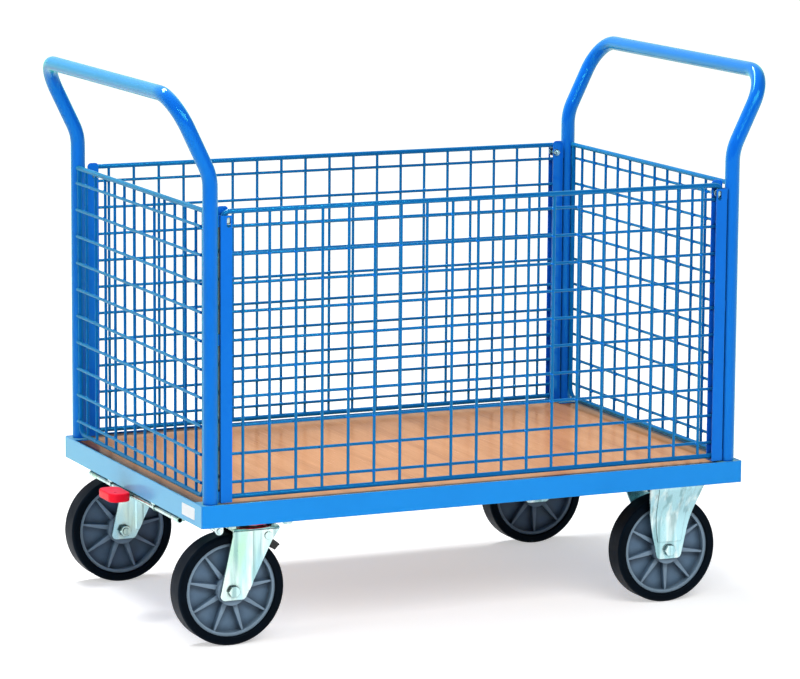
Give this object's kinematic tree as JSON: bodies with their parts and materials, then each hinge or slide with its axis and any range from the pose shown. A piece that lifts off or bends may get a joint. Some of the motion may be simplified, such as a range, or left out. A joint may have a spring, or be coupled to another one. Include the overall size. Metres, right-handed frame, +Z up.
{
  "type": "mesh-sided platform trolley",
  "caption": "Platform trolley with a wooden deck, wire mesh walls all round, a push handle at each end, fixed and swivel castors and a foot pedal brake.",
  "frame": {"origin": "on the floor, under the middle of the trolley", "axes": "+X towards the end with the fixed castors, +Y to the left of a person who pushes from the swivel end, +Z up"},
  "size_m": [1.1848, 0.7, 0.9929],
  "materials": {
    "blue_paint": "satin",
    "board_wood": "satin",
    "zinc_steel": "satin",
    "wheel_plastic": "matt",
    "tyre_rubber": "matt",
    "pad_rubber": "matt",
    "black_steel": "satin",
    "red_plastic": "gloss"
  },
  "bodies": {
    "frame": {"bar_hangers": "zinc_steel", "castor_bolts": "zinc_steel", "castor_nuts": "zinc_steel", "corner_plates": "blue_paint", "cross_members": "blue_paint", "deck_board": "board_wood", "end_panel_fixed": "blue_paint", "end_panel_swivel": "blue_paint", "end_rail_fixed": "blue_paint", "end_rail_swivel": "blue_paint", "fixed_axle_bolts": "zinc_steel", "fixed_axle_nuts": "zinc_steel", "fixed_fork_left": "zinc_steel", "fixed_fork_right": "zinc_steel", "kingpins": "zinc_steel", "long_rail_left": "blue_paint", "long_rail_right": "blue_paint", "panel_bolts": "zinc_steel", "panel_channels": "blue_paint", "panel_nuts": "zinc_steel", "push_handle_fixed_end": "blue_paint", "push_handle_swivel_end": "blue_paint", "rocker_brackets": "zinc_steel", "rocker_pins": "zinc_steel", "side_panel_left": "blue_paint", "side_panel_right": "blue_paint", "swivel_plates": "zinc_steel"},
    "swivel_right": {"swivel_fork_right": "zinc_steel", "swivel_balls_right": "zinc_steel", "swivel_axle_bolt_right": "zinc_steel", "swivel_axle_nut_right": "zinc_steel", "shoe_pin_right": "zinc_steel"},
    "wheel_swivel_right": {"wheel_rim_swivel_right": "wheel_plastic", "tyre_swivel_right": "tyre_rubber", "wheel_bearing_swivel_right": "zinc_steel"},
    "wheel_fixed_right": {"wheel_rim_fixed_right": "wheel_plastic", "tyre_fixed_right": "tyre_rubber", "wheel_bearing_fixed_right": "zinc_steel"},
    "ring_right": {"brake_ring_right": "red_plastic"},
    "rocker_right": {"brake_rocker_right": "zinc_steel"},
    "shoe_right": {"brake_shoe_right": "black_steel", "brake_pad_right": "pad_rubber"},
    "swivel_left": {"swivel_fork_left": "zinc_steel", "swivel_balls_left": "zinc_steel", "swivel_axle_bolt_left": "zinc_steel", "swivel_axle_nut_left": "zinc_steel", "shoe_pin_left": "zinc_steel"},
    "wheel_swivel_left": {"wheel_rim_swivel_left": "wheel_plastic", "tyre_swivel_left": "tyre_rubber", "wheel_bearing_swivel_left": "zinc_steel"},
    "wheel_fixed_left": {"wheel_rim_fixed_left": "wheel_plastic", "tyre_fixed_left": "tyre_rubber", "wheel_bearing_fixed_left": "zinc_steel"},
    "ring_left": {"brake_ring_left": "red_plastic"},
    "rocker_left": {"brake_rocker_left": "zinc_steel"},
    "shoe_left": {"brake_shoe_left": "black_steel", "brake_pad_left": "pad_rubber"},
    "pedal": {"brake_bar": "zinc_steel", "pedal_pad": "red_plastic"}
  },
  "joints": [
    {"name": "pedal_press", "type": "hinge", "parent": "frame", "child": "pedal", "pos_m": [-0.526, 0, 0.218], "axis": [0, -1, 0], "range_deg": [0, 16]},
    {"name": "swivel_turn_right", "type": "hinge", "parent": "frame", "child": "swivel_right", "pos_m": [-0.41, -0.272, 0.2], "axis": [0, 0, 1], "continuous": true},
    {"name": "wheel_spin_swivel_right", "type": "hinge", "parent": "swivel_right", "child": "wheel_swivel_right", "pos_m": [-0.456, -0.272, 0.1], "axis": [0, 1, 0], "continuous": true},
    {"name": "wheel_spin_fixed_right", "type": "hinge", "parent": "frame", "child": "wheel_fixed_right", "pos_m": [0.41, -0.272, 0.1], "axis": [0, 1, 0], "continuous": true},
    {"name": "rocker_tilt_right", "type": "hinge", "parent": "frame", "child": "rocker_right", "pos_m": [-0.486, -0.272, 0.212], "axis": [0, 1, 0], "range_deg": [0, 2.7]},
    {"name": "ring_drop_right", "type": "slide", "parent": "frame", "child": "ring_right", "axis": [0, 0, -1], "range_m": [0, 0.002]},
    {"name": "shoe_press_right", "type": "hinge", "parent": "swivel_right", "child": "shoe_right", "pos_m": [-0.39, -0.272, 0.195], "axis": [0, 1, 0], "range_deg": [0, 9]},
    {"name": "swivel_turn_left", "type": "hinge", "parent": "frame", "child": "swivel_left", "pos_m": [-0.41, 0.272, 0.2], "axis": [0, 0, 1], "continuous": true},
    {"name": "wheel_spin_swivel_left", "type": "hinge", "parent": "swivel_left", "child": "wheel_swivel_left", "pos_m": [-0.456, 0.272, 0.1], "axis": [0, 1, 0], "continuous": true},
    {"name": "wheel_spin_fixed_left", "type": "hinge", "parent": "frame", "child": "wheel_fixed_left", "pos_m": [0.41, 0.272, 0.1], "axis": [0, 1, 0], "continuous": true},
    {"name": "rocker_tilt_left", "type": "hinge", "parent": "frame", "child": "rocker_left", "pos_m": [-0.486, 0.272, 0.212], "axis": [0, 1, 0], "range_deg": [0, 2.7]},
    {"name": "ring_drop_left", "type": "slide", "parent": "frame", "child": "ring_left", "axis": [0, 0, -1], "range_m": [0, 0.002]},
    {"name": "shoe_press_left", "type": "hinge", "parent": "swivel_left", "child": "shoe_left", "pos_m": [-0.39, 0.272, 0.195], "axis": [0, 1, 0], "range_deg": [0, 9]}
  ],
  "couplings": [
    {"joint": "rocker_tilt_right", "follows": "pedal_press", "ratio": 0.16873},
    {"joint": "ring_drop_right", "follows": "pedal_press", "m_per_rad": 0.0071613},
    {"joint": "shoe_press_right", "follows": "pedal_press", "ratio": 0.56244},
    {"joint": "rocker_tilt_left", "follows": "pedal_press", "ratio": 0.16873},
    {"joint": "ring_drop_left", "follows": "pedal_press", "m_per_rad": 0.0071613},
    {"joint": "shoe_press_left", "follows": "pedal_press", "ratio": 0.56244}
  ]
}
